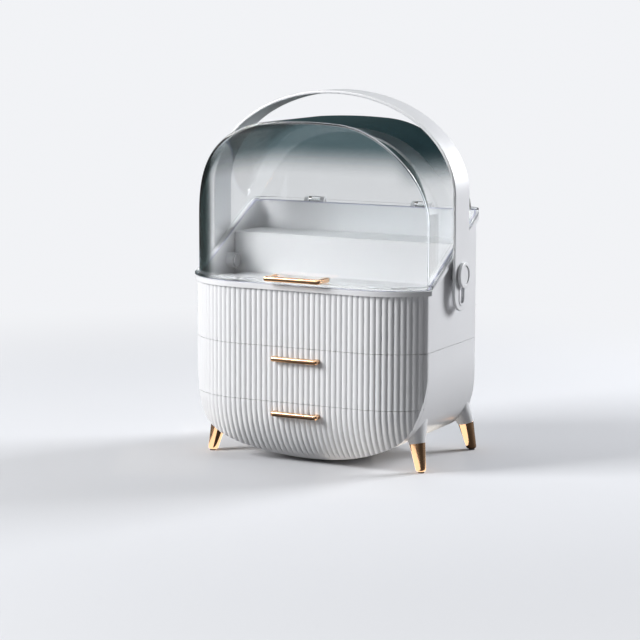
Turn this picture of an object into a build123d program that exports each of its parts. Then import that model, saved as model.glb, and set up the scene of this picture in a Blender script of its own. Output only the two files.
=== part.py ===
from build123d import *
import os
from math import acos, asin, atan2, cos, degrees, radians, sin, sqrt

# Countertop organiser: a bowed, reeded case with two drawers, a clear domed lid on rear
# hinges, a carrying strap on two side pivots and four splayed feet.
# Millimetres. X to the right, +Y to the back, +Z up. The origin is the centre of the
# footprint, at the level the feet stand on.

os.makedirs("parts", exist_ok=True)

# ---- case ----
body_width = 260.0
body_depth = 158.0
front_y = -80.0  # the flat middle of the front
bow_across = 62.0  # at each end of that flat the front turns back over this width
bow_radius = 78.0
rear_corner = 15.0
wall = 2.6
rib_count = 47
rib_rise = 1.1

# ---- levels ----
belly_low = 5.0  # lowest line of the bowl
lower_drawer_high = 61.0
upper_drawer_high = 56.0
seam_gap = 0.4
store_high = 62.0  # from the seam of the cases to the rim at the front
rim_climb = 67.0  # the rim climbs by this to the back
rim_level_in = 8.0  # and runs level over this last stretch
lip_out = 3.2
lip_deep = 5.0
rear_lip_out = 0.6

# ---- bowl, in front view: three tangent arcs down each side ----
side_radius = 137.0
side_lean = 22.0  # degrees turned by the side arc
corner_radius = 46.0
belly_radius = 230.0
tuck_radius = 80.0  # in side view the lowest front sweeps back on this arc
rib_fade_high = 26.0  # over this height a smooth face, swept back more sharply, ends the ribs
rib_fade_radius = 69.4
rib_fade_out = 0.3  # that face starts this far in front of them

# ---- drawers ----
front_thick = 4.0
front_gap = 0.4  # between a drawer front and the case behind it
front_lap_gap = 0.2  # between a drawer front and its tray
tray_wall = 2.0
tray_back_gap = 3.0
upper_tray_in = 8.0  # trays are narrower than the case, on each side
lower_tray_in = 18.0
upper_tray_down = 8.0  # and their walls end below the seam over them
lower_tray_down = 5.5
shelf_thick = 2.4
shelf_front_gap = 1.2  # between the shelf and a drawer front
glide_thick = 0.9
glide_wide = 8.0
glide_at = 70.0
glide_gap = 0.3
ledge_wide = 10.0
ledge_high = 3.0

# ---- deck, screws ----
deck_thick = 2.8
screw_r = 1.5
screw_head_r = 2.8
screw_head_high = 1.8
screw_play = 0.02
lug_wide = 16.0
lug_long = 12.0
lug_high = 5.0
boss_r = 4.0
boss_high = 6.0
case_screw_in = 14.0  # from the side of the case
case_screw_y = (-30.0, 60.0)
case_screw_long = 10.0
facade_screw_x = 62.0
facade_screw_down = (22.0, 40.0)  # below the seam over the drawer
lower_facade_screw_down = 11.4
facade_screw_long = 4.6

# ---- pulls ----
pull_high = 5.2
pull_leg = 5.2
pull_deep = 3.6
pull_corner = 3.4
pull_round = 2.0
lid_pull_long = 63.0
lid_pull_reach = 13.156  # bar face in front of the flat of the front
lid_pull_up = 6.8  # above the rim
drawer_pull_long = 52.6
drawer_pull_reach = 8.0
upper_pull_down = 12.0  # below the seam over the drawer
lower_pull_down = 11.4
pull_screw_r = 1.2
pull_screw_head_r = 2.2
pull_screw_bite = 3.0

# ---- lid ----
lid_side_in = 1.0  # its walls stand inside the case's outline
lid_front_in = 9.0
lid_back_in = 1.0
lid_wall = 2.2
lid_bow_across = 51.0
lid_bow = 70.0
lid_high = 162.0  # from the rim at the front to the crown
crown_radius = 521.0
shoulder_radius = 98.0
lid_rear_round = 28.0
lid_edge_round = 2.0
lid_inner_round = 0.6
seal_thick = 0.9
seal_wide = 1.6
seal_gap = 0.15
flange_thick = 2.8

# ---- hinges ----
hinge_x = 62.0
hinge_y_out = 5.2  # axis behind the case's back
hinge_z_up = 1.9  # axis above the rear rim
knuckle_r = 4.2
knuckle_long = 12.0
lug_side = 5.2
hinge_side_gap = 0.3
hinge_pin_r = 1.6
hinge_run_gap = 0.05
lug_drop = 11.0

# ---- carrying strap ----
strap_y = 11.3
strap_wide = 35.0
strap_thick = 3.0
strap_side_gap = 2.1  # inside the arms, to the lip
strap_over_lid = 28.0
strap_rise = 102.0  # its round top is half an ellipse of this height
strap_round = 1.0
pivot_up = 9.0  # above the rim at the front
arm_drop = 36.0  # the arms end below the pivots
slot_wide = 10.0
slot_drop = 28.6
slot_rim = 2.2
slot_rim_high = 0.6
button_r = 13.0
button_thick = 3.1
button_gap = 0.3
button_dish_r = 9.6
button_dish_deep = 0.9
block_gap = 0.15
block_high = 10.0
spacer_r = 8.5
pivot_pin_r = 4.0
pivot_run_gap = 0.05
pivot_boss_r = 8.0
pivot_boss_deep = 8.0
retainer_r = 7.0
retainer_thick = 2.0

# ---- insert ----
insert_gap = 1.2
insert_wall = 2.2
insert_down = 4.0  # its front floor lies below the rim
insert_step_y = 22.0
insert_step_high = 42.0
finger_hole_r = 9.0
finger_hole_in = 46.0
finger_hole_y = -20.0

# ---- feet ----
foot_tip_in = 11.0  # from the side of the case
foot_top_in = 17.0
front_foot_y = (-40.0, -37.0, -32.0)  # tip, top of the sleeve, root in the bowl
rear_foot_y = (87.8, 84.8, 68.0)
foot_top_z = 28.6
foot_tip_r = 4.9
foot_top_r = 8.0
foot_end_round = 2.4
socket_drop = 10.0  # its root lies below the lower seam
socket_top_r = 15.0
socket_top_in = 24.0
socket_rim = 0.4  # the case shows this much round the top of a foot
stud_r = 2.0
stud_long = 14.0
stud_play = 0.03
pad_r = 3.2
pad_thick = 1.2

# ---- derived ----
half_width = body_width / 2
back_y = front_y + body_depth
front_flat = body_width - 2 * bow_across
bow_turn = asin(bow_across / bow_radius)
corner_y = front_y + bow_radius * (1 - cos(bow_turn))
half_run = front_flat / 2 + bow_radius * bow_turn
far = 2 * body_width  # a reach past everything
seam_lower = belly_low + lower_drawer_high
seam_upper = seam_lower + upper_drawer_high
deck_top = seam_upper + seam_gap / 2 + deck_thick
rim_front = seam_upper + store_high
rim_rear = rim_front + rim_climb
rim_level_y = back_y - rim_level_in
lip_low = rim_front - lip_deep
upper_tray_half = half_width - upper_tray_in
lower_tray_half = half_width - lower_tray_in
upper_tray_high = seam_upper - upper_tray_down
lower_tray_high = seam_lower - lower_tray_down
tray_back = back_y - wall - tray_back_gap
case_screw_x = half_width - case_screw_in
lid_half = half_width - lid_side_in
lid_flat = 2 * (lid_half - lid_bow_across)
lid_top = rim_front + lid_high
lid_pull_z = rim_front + lid_pull_up
upper_pull_z = seam_upper - upper_pull_down
lower_pull_z = seam_lower - lower_pull_down
hinge_y = back_y + hinge_y_out
hinge_z = rim_rear + hinge_z_up
strap_inner = half_width + lip_out + strap_side_gap
strap_half = strap_inner + strap_thick
strap_spring_z = lid_top + strap_over_lid - strap_rise
pivot_z = rim_front + pivot_up
strap_end_z = pivot_z - arm_drop
slot_low = pivot_z - slot_drop
slot_top = pivot_z + block_high / 2 + block_gap
insert_low_z = rim_front - insert_down
insert_high_z = insert_low_z + insert_step_high
socket_top = seam_lower - socket_drop


def plan_at(run, out=0.0):
    """Point of the front's plan: run along it from the middle, out from it."""
    turn = max(0.0, (abs(run) - front_flat / 2) / bow_radius)
    x = min(abs(run), front_flat / 2) + (bow_radius + out) * sin(turn)
    y = front_y + bow_radius - (bow_radius + out) * cos(turn)
    return (x if run > 0 else -x, y)


def bow(flat, radius, middle_y, half):
    """Draws a front: a flat, then an arc on each side out to half. Gives the end's y."""
    turn = asin((half - flat / 2) / radius)
    Line((-flat / 2, middle_y), (flat / 2, middle_y))
    for side in (-1, 1):
        points = [(side * (flat / 2 + radius * sin(turn * part)), middle_y + radius * (1 - cos(turn * part)))
                  for part in (0, 0.5, 1)]
        ThreePointArc(*points)
    return middle_y + radius * (1 - cos(turn))


def case_plan(out=0.0, ribbed=False, back_out=None):
    """Plan of the case, moved out all round."""
    half = half_width + out
    back = back_y + (out if back_out is None else back_out)
    with BuildSketch(mode=Mode.PRIVATE) as plan:
        with BuildLine():
            if ribbed:
                for rib in range(rib_count):
                    start, end = (half_run * (2 * n / rib_count - 1) for n in (rib, rib + 1))
                    ThreePointArc(plan_at(start), plan_at((start + end) / 2, rib_rise), plan_at(end))
                end_y = corner_y
            else:
                end_y = bow(front_flat, bow_radius + out, front_y - out, half)
            Polyline((half, end_y), (half, back), (-half, back), (-half, end_y))
        make_face()
        fillet(plan.vertices().group_by(Axis.Y)[-1], radius=rear_corner + out)
    return plan.sketch


def behind_front(inset, edge_gap=0.0):
    """Plan of everything behind the front's curve, moved in by inset, and behind its corners."""
    edge_y = corner_y + edge_gap
    turn = acos((front_y + bow_radius - edge_y) / (bow_radius - inset))
    half = front_flat / 2 + (bow_radius - inset) * sin(turn)
    with BuildSketch(mode=Mode.PRIVATE) as plan:
        with BuildLine():
            bow(front_flat, bow_radius - inset, front_y + inset, half)
            Polyline((half, edge_y), (far, edge_y), (far, far), (-far, far), (-far, edge_y), (-half, edge_y))
        make_face()
    return plan.sketch


def lid_plan(inset=0.0):
    """Plan of the lid's wall, moved in by inset, and wider by the wall: the arch cuts its sides."""
    half = lid_half - inset + wall
    back = back_y - lid_back_in - inset
    with BuildSketch(mode=Mode.PRIVATE) as plan:
        with BuildLine():
            end_y = bow(lid_flat, lid_bow - inset, front_y + lid_front_in + inset, half)
            Polyline((half, end_y), (half, back), (-half, back), (-half, end_y))
        make_face()
    return plan.sketch


# the bowl's arcs: centres and the turns where they meet
lean = radians(side_lean)
side_centre_x = half_width - side_radius
corner_centre_x = side_centre_x + (side_radius - corner_radius) * cos(lean)
meet = acos(corner_centre_x / (belly_radius - corner_radius))
belly_centre_z = belly_low + belly_radius
corner_centre_z = belly_centre_z - (belly_radius - corner_radius) * sin(meet)
side_centre_z = corner_centre_z + (side_radius - corner_radius) * sin(lean)


def case_outline(inset=0.0, top=far):
    """Front view of the case: straight sides over the bowl, moved in by inset."""
    arcs = ((side_centre_x, side_centre_z, side_radius, 0.0, lean),
            (corner_centre_x, corner_centre_z, corner_radius, lean, meet),
            (0.0, belly_centre_z, belly_radius, meet, radians(90)))
    with BuildSketch(mode=Mode.PRIVATE) as outline:
        with BuildLine():
            for side in (-1, 1):
                for x, z, radius, start, end in arcs:
                    turns = (start, (start + end) / 2, end)
                    reach = radius - inset
                    ThreePointArc(*[(side * (x + reach * cos(t)), z - reach * sin(t)) for t in turns])
            edge = half_width - inset
            Polyline((edge, side_centre_z), (edge, top), (-edge, top), (-edge, side_centre_z))
        make_face()
    return outline.sketch


def lid_arch(inset=0.0):
    """Front view of the lid: straight sides, round shoulders and a flat crown."""
    half = lid_half - inset
    turn = acos((lid_half - shoulder_radius) / (crown_radius - shoulder_radius))
    crown_z = lid_top - crown_radius
    spring_z = crown_z + (crown_radius - shoulder_radius) * sin(turn)
    shoulder, crown = shoulder_radius - inset, crown_radius - inset
    with BuildSketch(mode=Mode.PRIVATE) as arch:
        with BuildLine():
            for side in (-1, 1):
                Line((side * half, lip_low), (side * half, spring_z))
                ThreePointArc(*[(side * (half - shoulder + shoulder * cos(t)), spring_z + shoulder * sin(t))
                                for t in (0, turn / 2, turn)])
            ThreePointArc(*[(crown * cos(t), crown_z + crown * sin(t))
                            for t in (turn, radians(90), radians(180) - turn)])
            Line((-half, lip_low), (half, lip_low))
        make_face()
    return arch.sketch


def rim_band(low, high):
    """Side view of a band that follows the rim, from low to high above it."""
    with BuildSketch(mode=Mode.PRIVATE) as band:
        with BuildLine():
            run = [(-far, rim_front), (corner_y, rim_front), (rim_level_y, rim_rear), (far, rim_rear)]
            lower = [(y, z + low) for y, z in run]
            upper = [(y, z + high) for y, z in reversed(run)]
            Polyline(*lower, *upper, close=True)
        make_face()
    return band.sketch


def stand(plan, low, high):
    """Block that stands on a plan."""
    with BuildPart(mode=Mode.PRIVATE) as block:
        with BuildSketch(Plane.XY.offset(low)):
            add(plan)
        extrude(amount=high - low)
    return block.part


def run_through(profile, plane):
    """Bar of a profile, right through the object."""
    with BuildPart(mode=Mode.PRIVATE) as bar:
        with BuildSketch(plane):
            add(profile)
        extrude(amount=far, both=True)
    return bar.part


def tucked(plan, arcs=None):
    """A plan carried down from the lower seam, and back along the tuck's arc, or arcs."""
    with BuildPart(mode=Mode.PRIVATE) as swept:
        with BuildLine(Plane.YZ) as path:
            at, lean = (0.0, seam_lower), 0.0
            for radius, low in arcs or [(tuck_radius, belly_low / 2)]:
                turn = asin(sin(lean) + (at[1] - low) / radius) - lean
                arc = JernArc(start=at, tangent=(sin(lean), -cos(lean)), radius=radius, arc_size=degrees(turn))
                at, lean = (arc.position_at(1).Y, arc.position_at(1).Z), lean + turn
        with BuildSketch(Plane.XY.offset(seam_lower)):
            add(plan)
        sweep(path=path.wire(), normal=(0, 0, 1))
    return swept.part


def finish(piece, label):
    """Names a piece and writes it."""
    piece.part.label = label
    export_step(piece.part, f"parts/{label}.step")
    print(label, len(piece.part.solids()), round(piece.part.volume))


def rod(radius, start, end):
    """Round bar from start to end."""
    axis = Vector(end) - Vector(start)
    with BuildPart(mode=Mode.PRIVATE) as bar:
        with BuildSketch(Plane(origin=start, z_dir=axis)):
            Circle(radius)
        extrude(amount=axis.length)
    return bar.part


def block(low, high):
    """Box from its low corner to its high corner."""
    size = Vector(high) - Vector(low)
    middle = (Vector(high) + Vector(low)) / 2
    with BuildPart(mode=Mode.PRIVATE) as box:
        with Locations(middle):
            Box(size.X, size.Y, size.Z)
    return box.part


def screw(seat, axis, long, radius, head_r):
    """Screw with the underside of its head on the seat, driven along the axis."""
    seat, axis = Vector(seat), Vector(axis)
    with BuildPart(mode=Mode.PRIVATE) as one:
        add(rod(radius, seat, seat + axis * long))
        add(rod(head_r, seat, seat - axis * screw_head_high))
    return one.part


def screw_room(seat, axis, long, radius, head_r):
    """Hole for a screw, with a flat for its head."""
    return screw(seat, axis, long + screw_play, radius + screw_play, head_r + screw_play)


def tuck(z):
    """How far the lowest front has swept back at a height."""
    return tuck_radius - sqrt(tuck_radius**2 - max(0.0, seam_lower - z)**2)


def pull(long, face_y, back_y, middle_z, deep):
    """Bar with both ends turned back to what it is fixed to."""
    with BuildPart(mode=Mode.PRIVATE) as bar:
        with BuildSketch(Plane.XY.offset(middle_z - pull_high / 2)) as plan:
            with Locations((0, (face_y + back_y) / 2)):
                Rectangle(long, back_y - face_y)
            fillet(plan.vertices().group_by(Axis.Y)[0], radius=pull_corner)
            with Locations((0, (face_y + deep + back_y) / 2)):
                Rectangle(long - 2 * pull_leg, back_y - face_y - deep, mode=Mode.SUBTRACT)
        extrude(amount=pull_high)
        rim = [edge for end in (0, -1) for edge in bar.faces().sort_by(Axis.Z)[end].edges()
               if edge.center().Y < face_y + pull_corner]
        fillet(rim, radius=pull_round)
    return bar.part


bowl_bar = run_through(case_outline(), Plane.XZ)
bowl_hollow = run_through(case_outline(wall), Plane.XZ)
hollow_plan = case_plan(-wall)
above_rim = run_through(rim_band(0, far), Plane.YZ)
room_behind = behind_front(front_thick + front_gap, front_gap)
lug_top = seam_upper - seam_gap / 2
case_screws_at = [((side * case_screw_x, y, lug_top - lug_high), (0, 0, 1))
                  for side in (-1, 1) for y in case_screw_y]
case_screw_fit = (case_screw_long, screw_r, screw_head_r)

# ---- upper case ----
with BuildPart() as upper_case:
    add(stand(case_plan(ribbed=True), seam_upper + seam_gap / 2, lip_low))
    add(stand(case_plan(), lip_low, rim_rear))
    add(stand(case_plan(lip_out, back_out=rear_lip_out), lip_low, rim_rear)
        & run_through(rim_band(-lip_deep, 0), Plane.YZ))
    add(above_rim, mode=Mode.SUBTRACT)
    add(stand(hollow_plan, deck_top, far), mode=Mode.SUBTRACT)
    for side in (-1, 1):
        inner = side * (half_width - wall)
        add(rod(pivot_boss_r, (inner, strap_y, pivot_z), (inner - side * pivot_boss_deep, strap_y, pivot_z)))
        add(rod(pivot_pin_r + pivot_run_gap, (side * far, strap_y, pivot_z), (0, strap_y, pivot_z)),
            mode=Mode.SUBTRACT)
        for end in (-1, 1):
            near = side * hinge_x + end * (knuckle_long / 2 + hinge_side_gap)
            low_x, high_x = sorted((near, near + end * lug_side))
            add(block((low_x, back_y - wall, hinge_z - lug_drop), (high_x, hinge_y, rim_rear)))
            add(rod(knuckle_r, (low_x, hinge_y, hinge_z), (high_x, hinge_y, hinge_z)))
            add(rod(hinge_pin_r + screw_play, (low_x, hinge_y, hinge_z), (high_x, hinge_y, hinge_z)),
                mode=Mode.SUBTRACT)
    with Locations(*[(side * case_screw_x, y, deck_top + boss_high / 2)
                     for side in (-1, 1) for y in case_screw_y]):
        Cylinder(boss_r, boss_high)
    for seat, axis in case_screws_at:
        add(screw_room(seat, axis, *case_screw_fit), mode=Mode.SUBTRACT)

# ---- lower case ----
case_room = stand(room_behind, seam_lower, lug_top) + tucked(room_behind)
with BuildPart() as lower_case:
    add(stand(case_plan(), belly_low, lug_top))
    add(bowl_bar, mode=Mode.INTERSECT)
    foot_lines = []
    for side in (-1, 1):
        for tip_y, top_y, root_y in (front_foot_y, rear_foot_y):
            tip = Vector(side * (half_width - foot_tip_in), tip_y, 0)
            top = Vector(side * (half_width - foot_top_in), top_y, foot_top_z)
            foot_lines.append((tip, top, (top - tip).normalized()))
            with BuildSketch(Plane(origin=top, z_dir=top - tip)):
                Circle(foot_top_r + socket_rim)
            with BuildSketch(Plane.XY.offset(socket_top)):
                with Locations((side * (half_width - socket_top_in), root_y)):
                    Circle(socket_top_r)
            loft()
    add(case_room, mode=Mode.INTERSECT)
    ledge_top = seam_lower - shelf_thick / 2
    ledge_in = half_width - wall - ledge_wide
    ledges = (block((-far, -far, ledge_top - ledge_high), (far, far, ledge_top))
              - block((-ledge_in, -far, 0), (ledge_in, far, far)))
    add((bowl_hollow & stand(hollow_plan, 0, far)) - ledges, mode=Mode.SUBTRACT)
    for tip, top, axis in foot_lines:
        add(rod(stud_r + stud_play, top, top + axis * (stud_long / 2 + stud_play)), mode=Mode.SUBTRACT)
    for side in (-1, 1):
        inner = side * (half_width - wall)
        for y in case_screw_y:
            low_x, high_x = sorted((inner, inner - side * lug_wide))
            add(block((low_x, y - lug_long / 2, lug_top - lug_high), (high_x, y + lug_long / 2, lug_top)))
    for seat, axis in case_screws_at:
        add(screw_room(seat, axis, *case_screw_fit), mode=Mode.SUBTRACT)

# ---- shelf between the drawers ----
with BuildPart() as shelf:
    add(stand(case_plan(-wall - glide_gap), ledge_top, ledge_top + shelf_thick))
    add(run_through(case_outline(wall + glide_gap), Plane.XZ), mode=Mode.INTERSECT)
    add(stand(behind_front(front_thick + shelf_front_gap, front_gap), 0, far), mode=Mode.INTERSECT)

# ---- insert that parts the display from the store beneath it ----
with BuildPart() as display_insert:
    for shrink, mode in ((0, Mode.ADD), (insert_wall, Mode.SUBTRACT)):
        with BuildSketch(mode=Mode.PRIVATE) as steps:
            with BuildLine():
                Polyline((-far, deck_top - shrink), (-far, insert_low_z - shrink),
                         (insert_step_y + shrink, insert_low_z - shrink),
                         (insert_step_y + shrink, insert_high_z - shrink),
                         (far, insert_high_z - shrink), (far, deck_top - shrink), close=True)
            make_face()
        add(stand(case_plan(-wall - insert_gap - shrink), deck_top - shrink, far)
            & run_through(steps.sketch, Plane.YZ), mode=mode)
    notch = pivot_boss_r + insert_gap
    with Locations(*[(side * half_width, strap_y, pivot_z) for side in (-1, 1)]):
        Box(2 * (wall + pivot_boss_deep + retainer_thick + insert_gap), 2 * notch, far, mode=Mode.SUBTRACT)
    with Locations(*[(side * case_screw_x, y, deck_top) for side in (-1, 1) for y in case_screw_y]):
        Cylinder(boss_r + insert_gap, 2 * (boss_high + insert_gap), mode=Mode.SUBTRACT)
    with Locations(*[(side * (half_width - finger_hole_in), finger_hole_y, insert_low_z) for side in (-1, 1)]):
        Cylinder(finger_hole_r, far, mode=Mode.SUBTRACT)

# ---- drawers ----
with BuildSketch() as front_plan:
    add(case_plan(ribbed=True))
    add(behind_front(front_thick), mode=Mode.SUBTRACT)
fit_inset = front_thick + front_lap_gap
tray_plans = [behind_front(fit_inset), behind_front(fit_inset + tray_wall)]
pull_screw_long = tray_wall + front_lap_gap + front_thick + rib_rise + pull_screw_bite
pull_screw_x = drawer_pull_long / 2 - pull_leg / 2


def drawer_screws(z, x, long, radius, head_r):
    """Screws driven forward from inside the tray: seats, and the size they share."""
    seat_y = front_y + tuck(z) + fit_inset + tray_wall
    return [((side * x, seat_y, z), (0, -1, 0)) for side in (-1, 1)], (long, radius, head_r)


upper_screws = [drawer_screws(seam_upper - down, facade_screw_x, facade_screw_long, screw_r, screw_head_r)
                for down in facade_screw_down]
upper_pull_screws = [drawer_screws(upper_pull_z, pull_screw_x, pull_screw_long,
                                   pull_screw_r, pull_screw_head_r)]
lower_screws = [drawer_screws(seam_lower - lower_facade_screw_down, facade_screw_x, facade_screw_long,
                              screw_r, screw_head_r)]
lower_pull_screws = [drawer_screws(lower_pull_z, pull_screw_x, pull_screw_long,
                                   pull_screw_r, pull_screw_head_r)]


def drill(sets):
    """Cuts the holes for sets of screws out of the piece being built."""
    rooms = [screw_room(*seat, *size) for seats, size in sets for seat in seats]
    add(rooms, mode=Mode.SUBTRACT)


def screw_group(sets):
    """The screws of some sets."""
    return [screw(*seat, *size) for seats, size in sets for seat in seats]


with BuildPart() as drawer_2_front:
    add(stand(front_plan.sketch, seam_lower + seam_gap / 2, lug_top))
    add(bowl_bar, mode=Mode.INTERSECT)
    drill(upper_screws + upper_pull_screws)

with BuildPart() as drawer_2_tray:
    tray_low = ledge_top + shelf_thick + glide_gap + glide_thick
    for shrink, low, plan, mode in ((0, tray_low, tray_plans[0], Mode.ADD),
                                    (tray_wall, tray_low + tray_wall, tray_plans[1], Mode.SUBTRACT)):
        half = upper_tray_half - shrink
        add(block((-half, front_y, low), (half, tray_back - shrink, upper_tray_high + shrink))
            & stand(plan, 0, far), mode=mode)
    drill(upper_screws + upper_pull_screws)

with BuildPart() as drawer_2_glides:
    for side in (-1, 1):
        low_x, high_x = sorted((side * glide_at, side * (glide_at + glide_wide)))
        add(block((low_x, front_y, tray_low - glide_thick), (high_x, tray_back, tray_low))
            & stand(tray_plans[1], 0, far))

with BuildPart() as drawer_3_front:
    add(tucked(front_plan.sketch))
    add(tucked(case_plan(rib_rise + rib_fade_out),
               [(tuck_radius, belly_low + rib_fade_high), (rib_fade_radius, belly_low / 2)]), mode=Mode.INTERSECT)
    add(bowl_bar, mode=Mode.INTERSECT)
    add(block((-far, -far, seam_lower - seam_gap / 2), (far, far, far)), mode=Mode.SUBTRACT)
    drill(lower_screws + lower_pull_screws)

glide_top = wall + glide_gap + glide_thick
with BuildPart() as drawer_3_tray:
    for shrink, plan, mode in ((0, tray_plans[0], Mode.ADD), (tray_wall, tray_plans[1], Mode.SUBTRACT)):
        half = lower_tray_half - shrink
        add(run_through(case_outline(glide_top + shrink), Plane.XZ)
            & block((-half, front_y, 0), (half, tray_back - shrink, lower_tray_high + shrink))
            & (tucked(plan) + stand(plan, seam_lower, far)), mode=mode)
    drill(lower_screws + lower_pull_screws)

with BuildPart() as drawer_3_glides:
    for side in (-1, 1):
        low_x, high_x = sorted((side * glide_at, side * (glide_at + glide_wide)))
        add(block((low_x, front_y, 0), (high_x, tray_back, seam_lower)))
    add(run_through(case_outline(glide_top - glide_thick), Plane.XZ) & tucked(tray_plans[1]),
        mode=Mode.INTERSECT)
    add(run_through(case_outline(glide_top), Plane.XZ), mode=Mode.SUBTRACT)

with BuildPart() as drawer_2_pull:
    add(pull(drawer_pull_long, front_y - drawer_pull_reach, front_y, upper_pull_z, pull_deep))
    add(stand(case_plan(ribbed=True), 0, far), mode=Mode.SUBTRACT)
    drill(upper_pull_screws)

with BuildPart() as drawer_3_pull:
    add(pull(drawer_pull_long, front_y - drawer_pull_reach, front_y + tuck(lower_pull_z) + rib_rise,
             lower_pull_z, pull_deep))
    add(tucked(front_plan.sketch), mode=Mode.SUBTRACT)
    drill(lower_pull_screws)

with BuildPart() as drawer_2_front_screws:
    add(screw_group(upper_screws))
with BuildPart() as drawer_2_pull_screws:
    add(screw_group(upper_pull_screws))
with BuildPart() as drawer_3_front_screws:
    add(screw_group(lower_screws))
with BuildPart() as drawer_3_pull_screws:
    add(screw_group(lower_pull_screws))
with BuildPart() as case_screws:
    add([screw(seat, axis, *case_screw_fit) for seat, axis in case_screws_at])

# ---- lid ----
def dome(inset, front_round):
    """Solid of the lid's shape, its edges rounded, moved in by inset."""
    with BuildPart(mode=Mode.PRIVATE) as solid:
        add(run_through(lid_arch(inset), Plane.XZ) & stand(lid_plan(inset), lip_low, far))
        rear = solid.faces().sort_by(Axis.Y)[-1]
        low_edge = rear.edges().sort_by(Axis.Z)[0]
        fillet([edge for edge in rear.edges() if edge != low_edge], radius=lid_rear_round - inset)
        fronts = [face for face in solid.faces() if face.normal_at().Y < -cos(radians(45))]
        rims = [edge for n, face in enumerate(fronts) for edge in face.edges()
                if edge.center().Z > lip_low + lid_wall
                and not any(edge == other for m, near in enumerate(fronts) if m != n for other in near.edges())]
        fillet(rims, radius=front_round)
    return solid.part


dome_inside = dome(lid_wall, lid_inner_round)
flange_low = seal_thick + seal_gap
lid_face_y = front_y + lid_front_in
lid_pull_screw_x = lid_pull_long / 2 - pull_leg / 2
lid_pull_screws_at = [((side * lid_pull_screw_x, lid_face_y + lid_wall, lid_pull_z), (0, -1, 0))
                      for side in (-1, 1)]
lid_pull_fit = (lid_wall + 2 * pull_screw_bite, pull_screw_r, pull_screw_head_r)
with BuildPart() as lid_dome:
    add(dome(0, lid_edge_round) & run_through(rim_band(flange_low, far), Plane.YZ))
    add(stand(case_plan(lip_out, back_out=rear_lip_out), lip_low, far)
        & run_through(rim_band(flange_low, flange_low + flange_thick), Plane.YZ))
    for side in (-1, 1):
        low_x, high_x = side * hinge_x - knuckle_long / 2, side * hinge_x + knuckle_long / 2
        add(block((low_x, back_y - wall, rim_rear + flange_low), (high_x, hinge_y, hinge_z + knuckle_r)))
        add(rod(knuckle_r, (low_x, hinge_y, hinge_z), (high_x, hinge_y, hinge_z)))
        add(rod(hinge_pin_r + hinge_run_gap, (low_x, hinge_y, hinge_z), (high_x, hinge_y, hinge_z)),
            mode=Mode.SUBTRACT)
    add(dome_inside, mode=Mode.SUBTRACT)
    for seat, axis in lid_pull_screws_at:
        add(screw_room(seat, axis, *lid_pull_fit), mode=Mode.SUBTRACT)

with BuildPart() as lid_seal:
    for grow, mode in ((seal_wide / 2, Mode.ADD), (-seal_wide / 2, Mode.SUBTRACT)):
        add(stand(case_plan(grow - wall / 2), lip_low, far)
            & run_through(rim_band(seal_gap, flange_low), Plane.YZ), mode=mode)

with BuildPart() as lid_pull:
    add(pull(lid_pull_long, front_y - lid_pull_reach, lid_face_y, lid_pull_z, pull_leg))
    for seat, axis in lid_pull_screws_at:
        add(screw_room(seat, axis, *lid_pull_fit), mode=Mode.SUBTRACT)

with BuildPart() as lid_pull_screws:
    add([screw(seat, axis, *lid_pull_fit) for seat, axis in lid_pull_screws_at])

# ---- hinge pins ----
hinge_pins = []
for side in (-1, 1):
    reach = knuckle_long / 2 + hinge_side_gap + lug_side
    with BuildPart() as hinge_pin:
        add(rod(hinge_pin_r, (side * hinge_x - reach, hinge_y, hinge_z), (side * hinge_x + reach, hinge_y, hinge_z)))
    hinge_pins.append(hinge_pin)

# ---- carrying strap ----
with BuildPart() as handle_strap:
    for shrink, mode in ((0, Mode.ADD), (strap_thick, Mode.SUBTRACT)):
        half, rise = strap_half - shrink, strap_rise - shrink
        with BuildSketch(Plane.XZ.offset(-strap_y)) as loop:
            with Locations((0, strap_spring_z)):
                Ellipse(half, rise)
            with Locations((0, (strap_spring_z + strap_end_z - shrink) / 2)):
                Rectangle(2 * half, strap_spring_z - strap_end_z + shrink)
            with Locations((0, strap_end_z - far / 2 - shrink)):
                Rectangle(far, far, mode=Mode.SUBTRACT)
        extrude(amount=strap_wide / 2 + shrink, both=True, mode=mode)
    with BuildSketch(Plane.YZ) as ends:
        with Locations((strap_y, strap_end_z + strap_wide / 2 + far / 2)):
            Rectangle(strap_wide, far)
        with Locations((strap_y, strap_end_z + strap_wide / 2)):
            Circle(strap_wide / 2)
    extrude(amount=far, both=True, mode=Mode.INTERSECT)
    rims = [edge for edge in handle_strap.edges() if edge.length > strap_wide]
    fillet(rims, radius=strap_round)
    for side in (-1, 1):
        for grow, depth, mode in ((slot_rim, slot_rim_high, Mode.ADD), (0, strap_thick, Mode.SUBTRACT)):
            low, high = side * strap_inner, side * (strap_half + slot_rim_high)
            start = side * (strap_half - slot_rim_high) if mode == Mode.ADD else low
            with BuildSketch(Plane(origin=(start, strap_y, 0), x_dir=(0, 1, 0), z_dir=(side, 0, 0))):
                with Locations((0, side * (slot_low + slot_wide / 2))):
                    Circle(slot_wide / 2 + grow)
                with Locations((0, side * (slot_low + slot_wide / 2 + slot_top) / 2)):
                    Rectangle(slot_wide + 2 * grow, slot_top - slot_low - slot_wide / 2 + 2 * grow)
            extrude(amount=abs(high - start), mode=mode)

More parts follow.
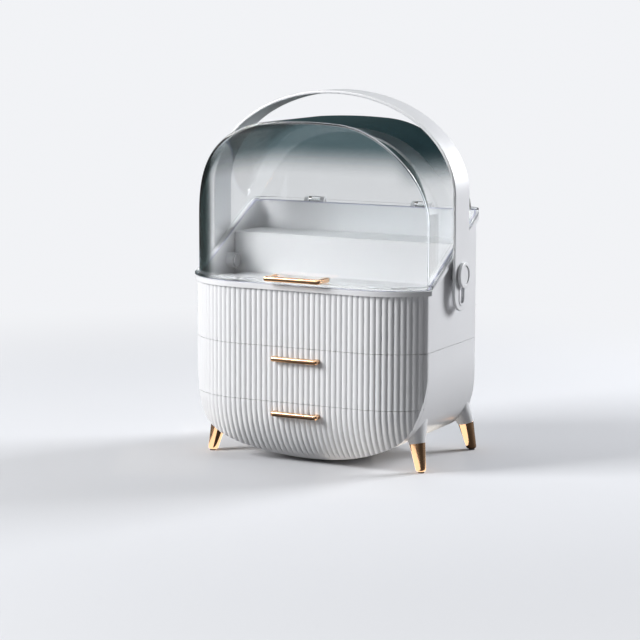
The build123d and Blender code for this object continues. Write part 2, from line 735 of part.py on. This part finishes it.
# ---- strap pivots ----
button_in = strap_half + slot_rim_high + button_gap
button_face = button_in + button_thick
pivots = []
for side in (-1, 1):
    out_plane = Plane(origin=(0, strap_y, pivot_z), x_dir=(0, 1, 0), z_dir=(side, 0, 0))
    half_block = slot_wide / 2 - block_gap
    with BuildPart() as button:
        with BuildSketch(out_plane.offset(button_in)):
            Circle(button_r)
        extrude(amount=button_thick)
        outer = button.faces().sort_by(Axis.X)[-1 if side > 0 else 0]
        fillet(outer.edges(), radius=button_dish_deep)
        with BuildSketch(out_plane.offset(button_face - button_dish_deep)):
            Circle(button_dish_r)
        extrude(amount=button_dish_deep, mode=Mode.SUBTRACT)
        with BuildSketch(out_plane.offset(strap_inner - button_gap)):
            Circle(half_block)
            with Locations((0, side * block_high / 4)):
                Rectangle(2 * half_block, block_high / 2)
        extrude(amount=button_in - strap_inner + button_gap)
        with BuildSketch(out_plane.offset(0)):
            Circle(pivot_pin_r + screw_play)
        extrude(amount=button_in + button_dish_deep, mode=Mode.SUBTRACT)
    with BuildPart() as washer:
        with BuildSketch(out_plane.offset(half_width + button_gap)):
            Circle(spacer_r)
            Circle(pivot_pin_r + screw_play, mode=Mode.SUBTRACT)
        extrude(amount=strap_inner - button_gap - half_width - button_gap)
    head_x = half_width - wall - pivot_boss_deep - button_gap
    with BuildPart() as pin:
        with BuildSketch(out_plane.offset(head_x)):
            Circle(pivot_pin_r)
        extrude(amount=button_in + button_dish_deep - head_x)
        with BuildSketch(out_plane.offset(head_x - retainer_thick)):
            Circle(retainer_r)
        extrude(amount=retainer_thick)
    pivots.append((button, washer, pin))

# ---- feet ----
feet = []
for tip, top, axis in foot_lines:
    with BuildPart() as foot:
        with BuildSketch(Plane(origin=tip, z_dir=axis)):
            Circle(foot_tip_r)
        with BuildSketch(Plane(origin=top, z_dir=axis)):
            Circle(foot_top_r)
        loft()
        add(block((-far, -far, -far), (far, far, pad_thick)), mode=Mode.SUBTRACT)
        fillet(foot.faces().sort_by(Axis.Z)[0].edges(), radius=foot_end_round)
        add(rod(stud_r + stud_play, top - axis * (stud_long / 2 + stud_play), top), mode=Mode.SUBTRACT)
    feet.append(foot)

with BuildPart() as foot_studs:
    add([rod(stud_r, top - axis * stud_long / 2, top + axis * stud_long / 2) for tip, top, axis in foot_lines])

with BuildPart() as foot_pads:
    for tip, top, axis in foot_lines:
        middle = tip + axis * (pad_thick / axis.Z)
        with Locations((middle.X, middle.Y, pad_thick / 2)):
            Cylinder(pad_r, pad_thick)

# ---- hand over ----
pieces = {
    "upper_case": upper_case, "lower_case": lower_case, "shelf": shelf, "case_screws": case_screws,
    "display_insert": display_insert,
    "drawer_2_front": drawer_2_front, "drawer_2_tray": drawer_2_tray, "drawer_2_glides": drawer_2_glides,
    "drawer_2_pull": drawer_2_pull, "drawer_2_pull_screws": drawer_2_pull_screws,
    "drawer_2_front_screws": drawer_2_front_screws,
    "drawer_3_front": drawer_3_front, "drawer_3_tray": drawer_3_tray, "drawer_3_glides": drawer_3_glides,
    "drawer_3_pull": drawer_3_pull, "drawer_3_pull_screws": drawer_3_pull_screws,
    "drawer_3_front_screws": drawer_3_front_screws,
    "lid_dome": lid_dome, "lid_seal": lid_seal, "lid_pull": lid_pull, "lid_pull_screws": lid_pull_screws,
    "hinge_pin_left": hinge_pins[0], "hinge_pin_right": hinge_pins[1],
    "handle_strap": handle_strap,
    "front_left_foot": feet[0], "rear_left_foot": feet[1],
    "front_right_foot": feet[2], "rear_right_foot": feet[3],
    "foot_studs": foot_studs, "foot_pads": foot_pads,
}
for hand, (button, washer, pin) in zip(("left", "right"), pivots):
    pieces |= {f"pivot_button_{hand}": button, f"pivot_washer_{hand}": washer, f"pivot_pin_{hand}": pin}

for name, piece in pieces.items():
    finish(piece, name)
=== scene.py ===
from math import cos, radians, sin

import bmesh
import bpy
from mathutils import Matrix, Vector

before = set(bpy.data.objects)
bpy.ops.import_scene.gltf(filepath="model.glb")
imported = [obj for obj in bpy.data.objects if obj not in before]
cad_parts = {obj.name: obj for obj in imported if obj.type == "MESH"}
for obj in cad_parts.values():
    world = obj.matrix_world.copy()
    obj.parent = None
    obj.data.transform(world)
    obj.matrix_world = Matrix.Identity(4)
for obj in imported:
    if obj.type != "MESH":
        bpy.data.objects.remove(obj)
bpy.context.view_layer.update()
print("frame loaded")


# shader helpers, shared by every finish
def newFinish(name):
    finish = bpy.data.materials.new(name)
    finish.use_nodes = True
    tree = finish.node_tree
    tree.nodes.clear()
    output = tree.nodes.new("ShaderNodeOutputMaterial")
    shader = tree.nodes.new("ShaderNodeBsdfPrincipled")
    tree.links.new(shader.outputs["BSDF"], output.inputs["Surface"])
    coords = tree.nodes.new("ShaderNodeTexCoord").outputs["Object"]
    return finish, tree, shader, coords


def surfaceFrom(tree, surface):
    output = next(node for node in tree.nodes if node.type == "OUTPUT_MATERIAL")
    tree.links.new(surface, output.inputs["Surface"])


# a socket is linked, and anything else is set on the input itself
def feed(tree, value, place):
    if isinstance(value, bpy.types.NodeSocket):
        tree.links.new(value, place)
    else:
        place.default_value = value


def worked(tree, operation, *values):
    node = tree.nodes.new("ShaderNodeMath")
    node.operation = operation
    for value, place in zip(values, node.inputs):
        feed(tree, value, place)
    return node.outputs["Value"]


def stretched(tree, coords, scale):
    mapping = tree.nodes.new("ShaderNodeMapping")
    mapping.inputs["Scale"].default_value = scale
    tree.links.new(coords, mapping.inputs["Vector"])
    return mapping.outputs["Vector"]


def noise(tree, coords, scale, detail=3.0):
    node = tree.nodes.new("ShaderNodeTexNoise")
    node.inputs["Scale"].default_value = scale
    node.inputs["Detail"].default_value = detail
    tree.links.new(coords, node.inputs["Vector"])
    return node.outputs["Fac"]


noiseSpan = (0.3, 0.7)  # a noise seldom leaves it


def between(tree, factor, low, high):
    spread = tree.nodes.new("ShaderNodeMapRange")
    spread.inputs["From Min"].default_value = noiseSpan[0]
    spread.inputs["From Max"].default_value = noiseSpan[1]
    spread.inputs["To Min"].default_value = low
    spread.inputs["To Max"].default_value = high
    tree.links.new(factor, spread.inputs["Value"])
    return spread.outputs["Result"]


def smoothly(tree, value, start, full):
    climb = tree.nodes.new("ShaderNodeMapRange")
    climb.interpolation_type = "SMOOTHSTEP"
    climb.inputs["From Min"].default_value = start
    climb.inputs["From Max"].default_value = full
    tree.links.new(value, climb.inputs["Value"])
    return climb.outputs["Result"]


def colourBetween(tree, factor, first, second):
    mix = tree.nodes.new("ShaderNodeMix")
    mix.data_type = "RGBA"
    for colour, place in ((first, mix.inputs[6]), (second, mix.inputs[7])):
        feed(tree, (*colour, 1) if isinstance(colour, tuple) else colour, place)
    tree.links.new(factor, mix.inputs[0])
    return mix.outputs[2]


def shaderBetween(tree, factor, first, second):
    mix = tree.nodes.new("ShaderNodeMixShader")
    tree.links.new(factor, mix.inputs[0])
    tree.links.new(first, mix.inputs[1])
    tree.links.new(second, mix.inputs[2])
    return mix.outputs["Shader"]


def roundedEdges(tree, radius):
    bevel = tree.nodes.new("ShaderNodeBevel")
    bevel.samples = 4
    bevel.inputs["Radius"].default_value = radius
    return bevel.outputs["Normal"]


def bumped(tree, height, strength, depth, normal):
    bump = tree.nodes.new("ShaderNodeBump")
    bump.inputs["Strength"].default_value = strength
    bump.inputs["Distance"].default_value = depth
    tree.links.new(height, bump.inputs["Height"])
    tree.links.new(normal, bump.inputs["Normal"])
    return bump.outputs["Normal"]


# moulded white plastic of the case, drawer fronts and strap
shell = {
    "colour": (0.84, 0.845, 0.865),
    "shade": (0.82, 0.825, 0.845),
    "clouds": 9,
    "roughness": (0.29, 0.37),
    "handling": 60,
    "coat": 0.15,
    "coatRoughness": 0.12,
    "ior": 1.5,
    "edge": 0.0004,
    "grain": 900,
    "grainDetail": 2,
    "grainStrength": 0.06,
    "grainDepth": 0.00002,
}


def mouldedPlastic(name, look):
    finish, tree, shader, coords = newFinish(name)
    cloudy = noise(tree, coords, look["clouds"])
    grain = noise(tree, coords, look["grain"], look["grainDetail"])
    colour = colourBetween(tree, cloudy, look["colour"], look["shade"])
    tree.links.new(colour, shader.inputs["Base Color"])
    handled = noise(tree, coords, look["handling"])
    tree.links.new(between(tree, handled, *look["roughness"]), shader.inputs["Roughness"])
    edges = roundedEdges(tree, look["edge"])
    moulded = bumped(tree, grain, look["grainStrength"], look["grainDepth"], edges)
    tree.links.new(moulded, shader.inputs["Normal"])
    shader.inputs["IOR"].default_value = look["ior"]
    shader.inputs["Coat Weight"].default_value = look["coat"]
    shader.inputs["Coat Roughness"].default_value = look["coatRoughness"]
    return finish


shellWhite = mouldedPlastic("shellWhite", shell)

# the trays, shelf and insert are a duller satin white
tray = dict(shell, colour=(0.84, 0.845, 0.86), shade=(0.81, 0.815, 0.83),
            roughness=(0.42, 0.52), coat=0.0)
trayWhite = mouldedPlastic("trayWhite", tray)

glides = dict(shell, colour=(0.62, 0.62, 0.62), shade=(0.56, 0.56, 0.56),
              roughness=(0.35, 0.45), coat=0.0)
glideGrey = mouldedPlastic("glideGrey", glides)
print("plastics ready")

# clear lid, with a painted dark sea green reflection at its top and, seen edge on, painted shade
# down the bowed ends of its front, whose rim has a painted glow standing in for an edge that
# pipes light
dome = {
    "clear": (0.965, 0.975, 0.978),
    "crown": (0.102, 0.166, 0.182),
    "crownStarts": 0.278,
    "crownFull": 0.314,
    "panelBack": -0.068,
    "roofStarts": -0.058,
    "facingBlend": 0.5,
    "paintedEdgeOnShade": (0.035, 0.06, 0.06),
    "bendStarts": 0.30,
    "bendFull": 0.44,
    "bowEnds": -0.046,
    "bowFade": 0.004,
    "endsStart": 0.088,
    "endsFull": 0.112,
    "rimTurn": (0.10, 0.22, 0.50, 0.62),
    "rimFront": (-0.030, -0.036),
    "rimLow": 0.200,
    "rimFade": 0.01,
    "paintedGlowColour": (0.80, 0.84, 0.92),
    "paintedGlowStrength": 0.62,
    "lampPass": 0.66,
    "roughness": 0.02,
    "ior": 1.10,
    "coat": 1.0,
    "coatRoughness": 0.02,
    "gloss": 1.7,
}


def both(tree, first, second):
    return worked(tree, "MULTIPLY", first, second)


def placeOf(tree, vector):
    split = tree.nodes.new("ShaderNodeSeparateXYZ")
    tree.links.new(vector, split.inputs["Vector"])
    return split.outputs


def paintedLidDarkening(tree, coords, look):
    place = placeOf(tree, coords)
    high = smoothly(tree, place["Z"], look["crownStarts"], look["crownFull"])
    behind = smoothly(tree, place["Y"], look["panelBack"], look["roofStarts"])
    # painted dark reflection: behind the front panel the lid turns dark sea green towards its
    # top, standing in for dark surroundings
    clearWithPaintedCrown = colourBetween(tree, both(tree, high, behind), look["clear"], look["crown"])
    # painted shade: the bowed ends of the front darken where their faces turn edge on to the view
    layer = tree.nodes.new("ShaderNodeLayerWeight")
    layer.inputs["Blend"].default_value = look["facingBlend"]
    edgeOn = smoothly(tree, layer.outputs["Facing"], look["bendStarts"], look["bendFull"])
    front = smoothly(tree, place["Y"], look["bowEnds"], look["bowEnds"] - look["bowFade"])
    aside = worked(tree, "ABSOLUTE", place["X"])
    ends = smoothly(tree, aside, look["endsStart"], look["endsFull"])
    edgeOnShadeMask = both(tree, both(tree, edgeOn, front), ends)
    return colourBetween(tree, edgeOnShadeMask, clearWithPaintedCrown, look["paintedEdgeOnShade"])


# the rim gets a painted glow, standing in for a highlight; it is found by how far its faces turn
# to the front
def paintedRimGlow(tree, coords, look):
    place = placeOf(tree, coords)
    facing = placeOf(tree, tree.nodes.new("ShaderNodeTexCoord").outputs["Normal"])
    turned = worked(tree, "MULTIPLY", facing["Y"], -1)
    rises, risen, falls, fallen = look["rimTurn"]
    rim = both(tree, smoothly(tree, turned, rises, risen), smoothly(tree, turned, fallen, falls))
    rim = both(tree, rim, smoothly(tree, place["Y"], *look["rimFront"]))
    rimStarts = look["rimLow"] - look["rimFade"]
    rim = both(tree, rim, smoothly(tree, place["Z"], rimStarts, look["rimLow"]))
    return both(tree, rim, look["paintedGlowStrength"])


def clearWithPaintedLight(name, look):
    finish, tree, shader, coords = newFinish(name)
    tree.links.new(paintedLidDarkening(tree, coords, look), shader.inputs["Base Color"])
    # painted highlight: the front rim glows by emission, though it is no lamp
    shader.inputs["Emission Color"].default_value = (*look["paintedGlowColour"], 1)
    tree.links.new(paintedRimGlow(tree, coords, look), shader.inputs["Emission Strength"])
    shader.inputs["Transmission Weight"].default_value = 1.0
    shader.inputs["Roughness"].default_value = look["roughness"]
    shader.inputs["IOR"].default_value = look["ior"]
    shader.inputs["Coat Weight"].default_value = look["coat"]
    shader.inputs["Coat Roughness"].default_value = look["coatRoughness"]
    shader.inputs["Coat IOR"].default_value = look["gloss"]
    lampPass = tree.nodes.new("ShaderNodeBsdfTransparent")
    lampPass.inputs["Color"].default_value = (*[look["lampPass"]] * 3, 1)
    shadowRay = tree.nodes.new("ShaderNodeLightPath").outputs["Is Shadow Ray"]
    surfaceFrom(tree, shaderBetween(tree, shadowRay, shader.outputs["BSDF"],
                                    lampPass.outputs["BSDF"]))
    return finish


domeClear = clearWithPaintedLight("domeClear", dome)

# polished rose gold plate of the feet and pulls
gold = {
    "colour": (0.86, 0.56, 0.35),
    "deep": (0.80, 0.49, 0.29),
    "clouds": 40,
    "roughness": (0.10, 0.18),
    "edge": 0.0003,
    "brush": (300, 300, 40),
    "brushScale": 6,
    "brushDetail": 2,
    "brushStrength": 0.04,
    "brushDepth": 0.00001,
}


def platedMetal(name, look):
    finish, tree, shader, coords = newFinish(name)
    cloudy = noise(tree, coords, look["clouds"])
    along = stretched(tree, coords, look["brush"])
    brushed = noise(tree, along, look["brushScale"], look["brushDetail"])
    colour = colourBetween(tree, cloudy, look["colour"], look["deep"])
    tree.links.new(colour, shader.inputs["Base Color"])
    tree.links.new(between(tree, brushed, *look["roughness"]), shader.inputs["Roughness"])
    edges = roundedEdges(tree, look["edge"])
    plated = bumped(tree, brushed, look["brushStrength"], look["brushDepth"], edges)
    tree.links.new(plated, shader.inputs["Normal"])
    shader.inputs["Metallic"].default_value = 1.0
    return finish


roseGold = platedMetal("roseGold", gold)
steel = dict(gold, colour=(0.62, 0.62, 0.63), deep=(0.52, 0.52, 0.53),
             roughness=(0.25, 0.38), brush=(60, 900, 900))
plainSteel = platedMetal("plainSteel", steel)
print("metals ready")

# soft seal under the lid, and the pads under the feet
rubber = dict(shell, colour=(0.66, 0.67, 0.82), shade=(0.60, 0.61, 0.76), roughness=(0.5, 0.65),
              coat=0.0, edge=0.0002, grain=1500, grainDepth=0.00003)
sealGrey = mouldedPlastic("sealGrey", rubber)
pads = dict(rubber, colour=(0.05, 0.05, 0.05), shade=(0.035, 0.035, 0.035))
padDark = mouldedPlastic("padDark", pads)

finishes = {
    shellWhite: ["upper_case", "lower_case", "drawer_2_front", "drawer_3_front", "handle_strap",
                 "pivot_button_left", "pivot_button_right"],
    trayWhite: ["shelf", "display_insert", "drawer_2_tray", "drawer_3_tray"],
    glideGrey: ["drawer_2_glides", "drawer_3_glides", "pivot_washer_left", "pivot_washer_right"],
    domeClear: ["lid_dome"],
    roseGold: ["drawer_2_pull", "drawer_3_pull", "lid_pull", "front_left_foot", "rear_left_foot",
               "front_right_foot", "rear_right_foot"],
    sealGrey: ["lid_seal"],
    padDark: ["foot_pads"],
    plainSteel: ["case_screws", "drawer_2_pull_screws", "drawer_2_front_screws",
                 "drawer_3_pull_screws", "drawer_3_front_screws", "lid_pull_screws",
                 "hinge_pin_left", "hinge_pin_right", "foot_studs", "pivot_pin_left",
                 "pivot_pin_right"],
}
for finish, names in finishes.items():
    for name in names:
        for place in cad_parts[name].material_slots:
            place.material = finish
print("finishes on", sum(len(names) for names in finishes.values()), "pieces")

# floor and surroundings
firstBounce = 0.5  # a ray's count of bounces is over it from the first one on


def bounced(tree, kind):
    paths = tree.nodes.new("ShaderNodeLightPath")
    return worked(tree, "GREATER_THAN", paths.outputs[kind], firstBounce)


def lookedAt(tree, kinds, without):
    paths = tree.nodes.new("ShaderNodeLightPath")
    looked = paths.outputs["Is Camera Ray"]
    for kind in kinds:
        looked = worked(tree, "MAXIMUM", looked, paths.outputs[kind])
    for depth in without:
        looked = both(tree, looked, worked(tree, "SUBTRACT", 1, bounced(tree, depth)))
    return looked


ground = {
    "size": 30,
    "colour": (0.885, 0.895, 0.92),
    "near": (0.64, 0.65, 0.675),
    "bounce": (0.29, 0.293, 0.30),
    "mirrored": (0.045, 0.04, 0.036),
    "roughness": 0.9,
    "specular": 0.2,
    "reach": 0.45,
    "fade": 1.1,
}


def paleFloor(look):
    mesh = bpy.data.meshes.new("floor")
    shape = bmesh.new()
    bmesh.ops.create_grid(shape, x_segments=1, y_segments=1, size=look["size"])
    shape.to_mesh(mesh)
    shape.free()
    floor = bpy.data.objects.new("floor", mesh)
    bpy.context.scene.collection.objects.link(floor)
    finish, tree, shader, coords = newFinish("paleFloor")
    looked = lookedAt(tree, ["Is Transmission Ray"], ["Diffuse Depth", "Glossy Depth"])
    plate = colourBetween(tree, looked, look["bounce"], look["near"])
    # painted dark reflection: gloss and metal see this pale floor as near black, darkening the
    # gold
    plate = colourBetween(tree, bounced(tree, "Glossy Depth"), plate, look["mirrored"])
    tree.links.new(plate, shader.inputs["Base Color"])
    shader.inputs["Roughness"].default_value = look["roughness"]
    shader.inputs["Specular IOR Level"].default_value = look["specular"]
    length = tree.nodes.new("ShaderNodeVectorMath")
    length.operation = "LENGTH"
    tree.links.new(coords, length.inputs[0])
    away = smoothly(tree, length.outputs["Value"], look["reach"], look["fade"])
    glow = tree.nodes.new("ShaderNodeEmission")
    glow.inputs["Color"].default_value = (*look["colour"], 1)
    seen = both(tree, away, looked)
    surfaceFrom(tree, shaderBetween(tree, seen, shader.outputs["BSDF"], glow.outputs["Emission"]))
    mesh.materials.append(finish)


paleFloor(ground)

# low glowing cards that only gloss and metal mirror: each lies ahead of its foot and to its left
footCards = {
    "feet": ["front_left_foot", "front_right_foot", "rear_left_foot", "rear_right_foot"],
    "towardsLens": (0.45, -0.89),
    "left": (0.006, 0.10),
    "ahead": (-0.03, 0.12),
    "lift": 0.0005,
    "glow": (1.0, 0.93, 0.84),
    "strength": 1.7,
}


def cardsByFeet(look):
    finish, tree, _, _ = newFinish("footCard")
    glow = tree.nodes.new("ShaderNodeEmission")
    glow.inputs["Color"].default_value = (*look["glow"], 1)
    glow.inputs["Strength"].default_value = look["strength"]
    surfaceFrom(tree, glow.outputs["Emission"])
    ahead = Vector((*look["towardsLens"], 0)).normalized()
    left = Vector((ahead.y, -ahead.x, 0))
    for name in look["feet"]:
        box = [Vector(corner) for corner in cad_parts[name].bound_box]
        middle = sum(box, Vector()) / len(box)
        foot = Vector((middle.x, middle.y, look["lift"]))
        shape = bmesh.new()
        bmesh.ops.create_grid(shape, x_segments=1, y_segments=1, size=1)
        for vert in shape.verts:  # each corner of the grid becomes its corner of the card
            aside = look["left"][vert.co.x > 0]
            out = look["ahead"][vert.co.y > 0]
            vert.co = foot + left * aside + ahead * out
        mesh = bpy.data.meshes.new(f"card by {name}")
        shape.to_mesh(mesh)
        shape.free()
        mesh.materials.append(finish)
        card = bpy.data.objects.new(f"card by {name}", mesh)
        bpy.context.scene.collection.objects.link(card)
        card.visible_camera = card.visible_diffuse = False
        card.visible_transmission = card.visible_shadow = False


cardsByFeet(footCards)

# the sky: pale where the camera looks and dim as a light, with dark and bright cards for gloss
# and metal to mirror, each full and gone at so many degrees from its middle
sky = {
    "seen": ground["colour"],
    "ambient": (0.93, 0.96, 1.0),
    "strength": 0.05,
    "cards": {
        "darkRight": {"towards": (0.97, -0.26, 0.0), "full": 40, "gone": 55,
                      "colour": (0.03, 0.03, 0.03)},
        "darkBehind": {"towards": (-0.35, 0.92, 0.22), "full": 24, "gone": 52,
                       "colour": (0.035, 0.06, 0.065)},
        "brightLeft": {"towards": (-0.80, -0.52, 0.28), "full": 22, "gone": 32,
                       "colour": (2.4, 2.4, 2.4)},
        "brightOver": {"towards": (0.25, 0.15, 1.0), "full": 22, "gone": 42,
                       "colour": (2.6, 2.6, 2.6)},
    },
}


def studioSky(look):
    world = bpy.data.worlds.new("studio")
    bpy.context.scene.world = world
    world.use_nodes = True
    tree = world.node_tree
    tree.nodes.clear()
    towards = tree.nodes.new("ShaderNodeTexCoord").outputs["Generated"]
    mirrored = look["seen"]
    for card in look["cards"].values():
        facing = tree.nodes.new("ShaderNodeVectorMath")
        facing.operation = "DOT_PRODUCT"
        facing.inputs[1].default_value = Vector(card["towards"]).normalized()
        tree.links.new(towards, facing.inputs[0])
        gone, full = cos(radians(card["gone"])), cos(radians(card["full"]))
        shade = smoothly(tree, facing.outputs["Value"], gone, full)
        mirrored = colourBetween(tree, shade, mirrored, card["colour"])
    seen = tree.nodes.new("ShaderNodeBackground")
    colour = colourBetween(tree, bounced(tree, "Glossy Depth"), look["seen"], mirrored)
    tree.links.new(colour, seen.inputs["Color"])
    lit = tree.nodes.new("ShaderNodeBackground")
    lit.inputs["Color"].default_value = (*look["ambient"], 1)
    lit.inputs["Strength"].default_value = look["strength"]
    looked = lookedAt(tree, ["Is Glossy Ray", "Is Transmission Ray"], ["Diffuse Depth"])
    output = tree.nodes.new("ShaderNodeOutputWorld")
    tree.links.new(shaderBetween(tree, looked, lit.outputs[0], seen.outputs[0]),
                   output.inputs["Surface"])


studioSky(sky)

lampAim = Vector((0, 0, 0.15))
lamps = {
    "keyLeft": {"spot": (-1.82, -1.7, 1.45), "size": 1.2, "power": 98, "colour": (1, 1, 1)},
    "rearRight": {"spot": (1.42, 1.78, 1.05), "size": 1.0, "power": 72,
                  "colour": (0.97, 0.98, 1)},
    "over": {"spot": (-0.2, 0.3, 2.4), "size": 1.6, "power": 12, "colour": (1, 1, 1)},
}
for name, lamp in lamps.items():
    light = bpy.data.lights.new(name, "AREA")
    light.size = lamp["size"]
    light.energy = lamp["power"]
    light.color = lamp["colour"]
    spot = bpy.data.objects.new(name, light)
    spot.location = lamp["spot"]
    spot.rotation_euler = (lampAim - Vector(lamp["spot"])).to_track_quat("-Z", "Y").to_euler()
    bpy.context.scene.collection.objects.link(spot)
print("lamps ready")

# camera, from the fitted view
view = {
    "spot": (1.00124, -1.99898, 0.47636),
    "turn": 26.94,
    "down": 7.74,
    "roll": 0.18,
    "sensor": 36,
    "lens": 124.28,
    "shift": -0.05,
    "sees": 100,
}
turn, down, roll = (radians(view[key]) for key in ("turn", "down", "roll"))
ahead = Vector((-sin(turn) * cos(down), cos(turn) * cos(down), -sin(down)))
level = Vector((cos(turn), sin(turn), 0))
above = level.cross(ahead)
right = level * cos(roll) + above * sin(roll)
up = above * cos(roll) - level * sin(roll)
lens = bpy.data.cameras.new("view")
lens.sensor_width = view["sensor"]
lens.lens = view["lens"]
lens.shift_y = view["shift"]
lens.clip_end = view["sees"]
camera = bpy.data.objects.new("view", lens)
bpy.context.scene.collection.objects.link(camera)
turned = Matrix((right, up, -ahead)).transposed().to_4x4()
camera.matrix_world = Matrix.Translation(view["spot"]) @ turned
bpy.context.scene.camera = camera
bpy.context.scene.view_settings.view_transform = "Standard"
print("camera ready")
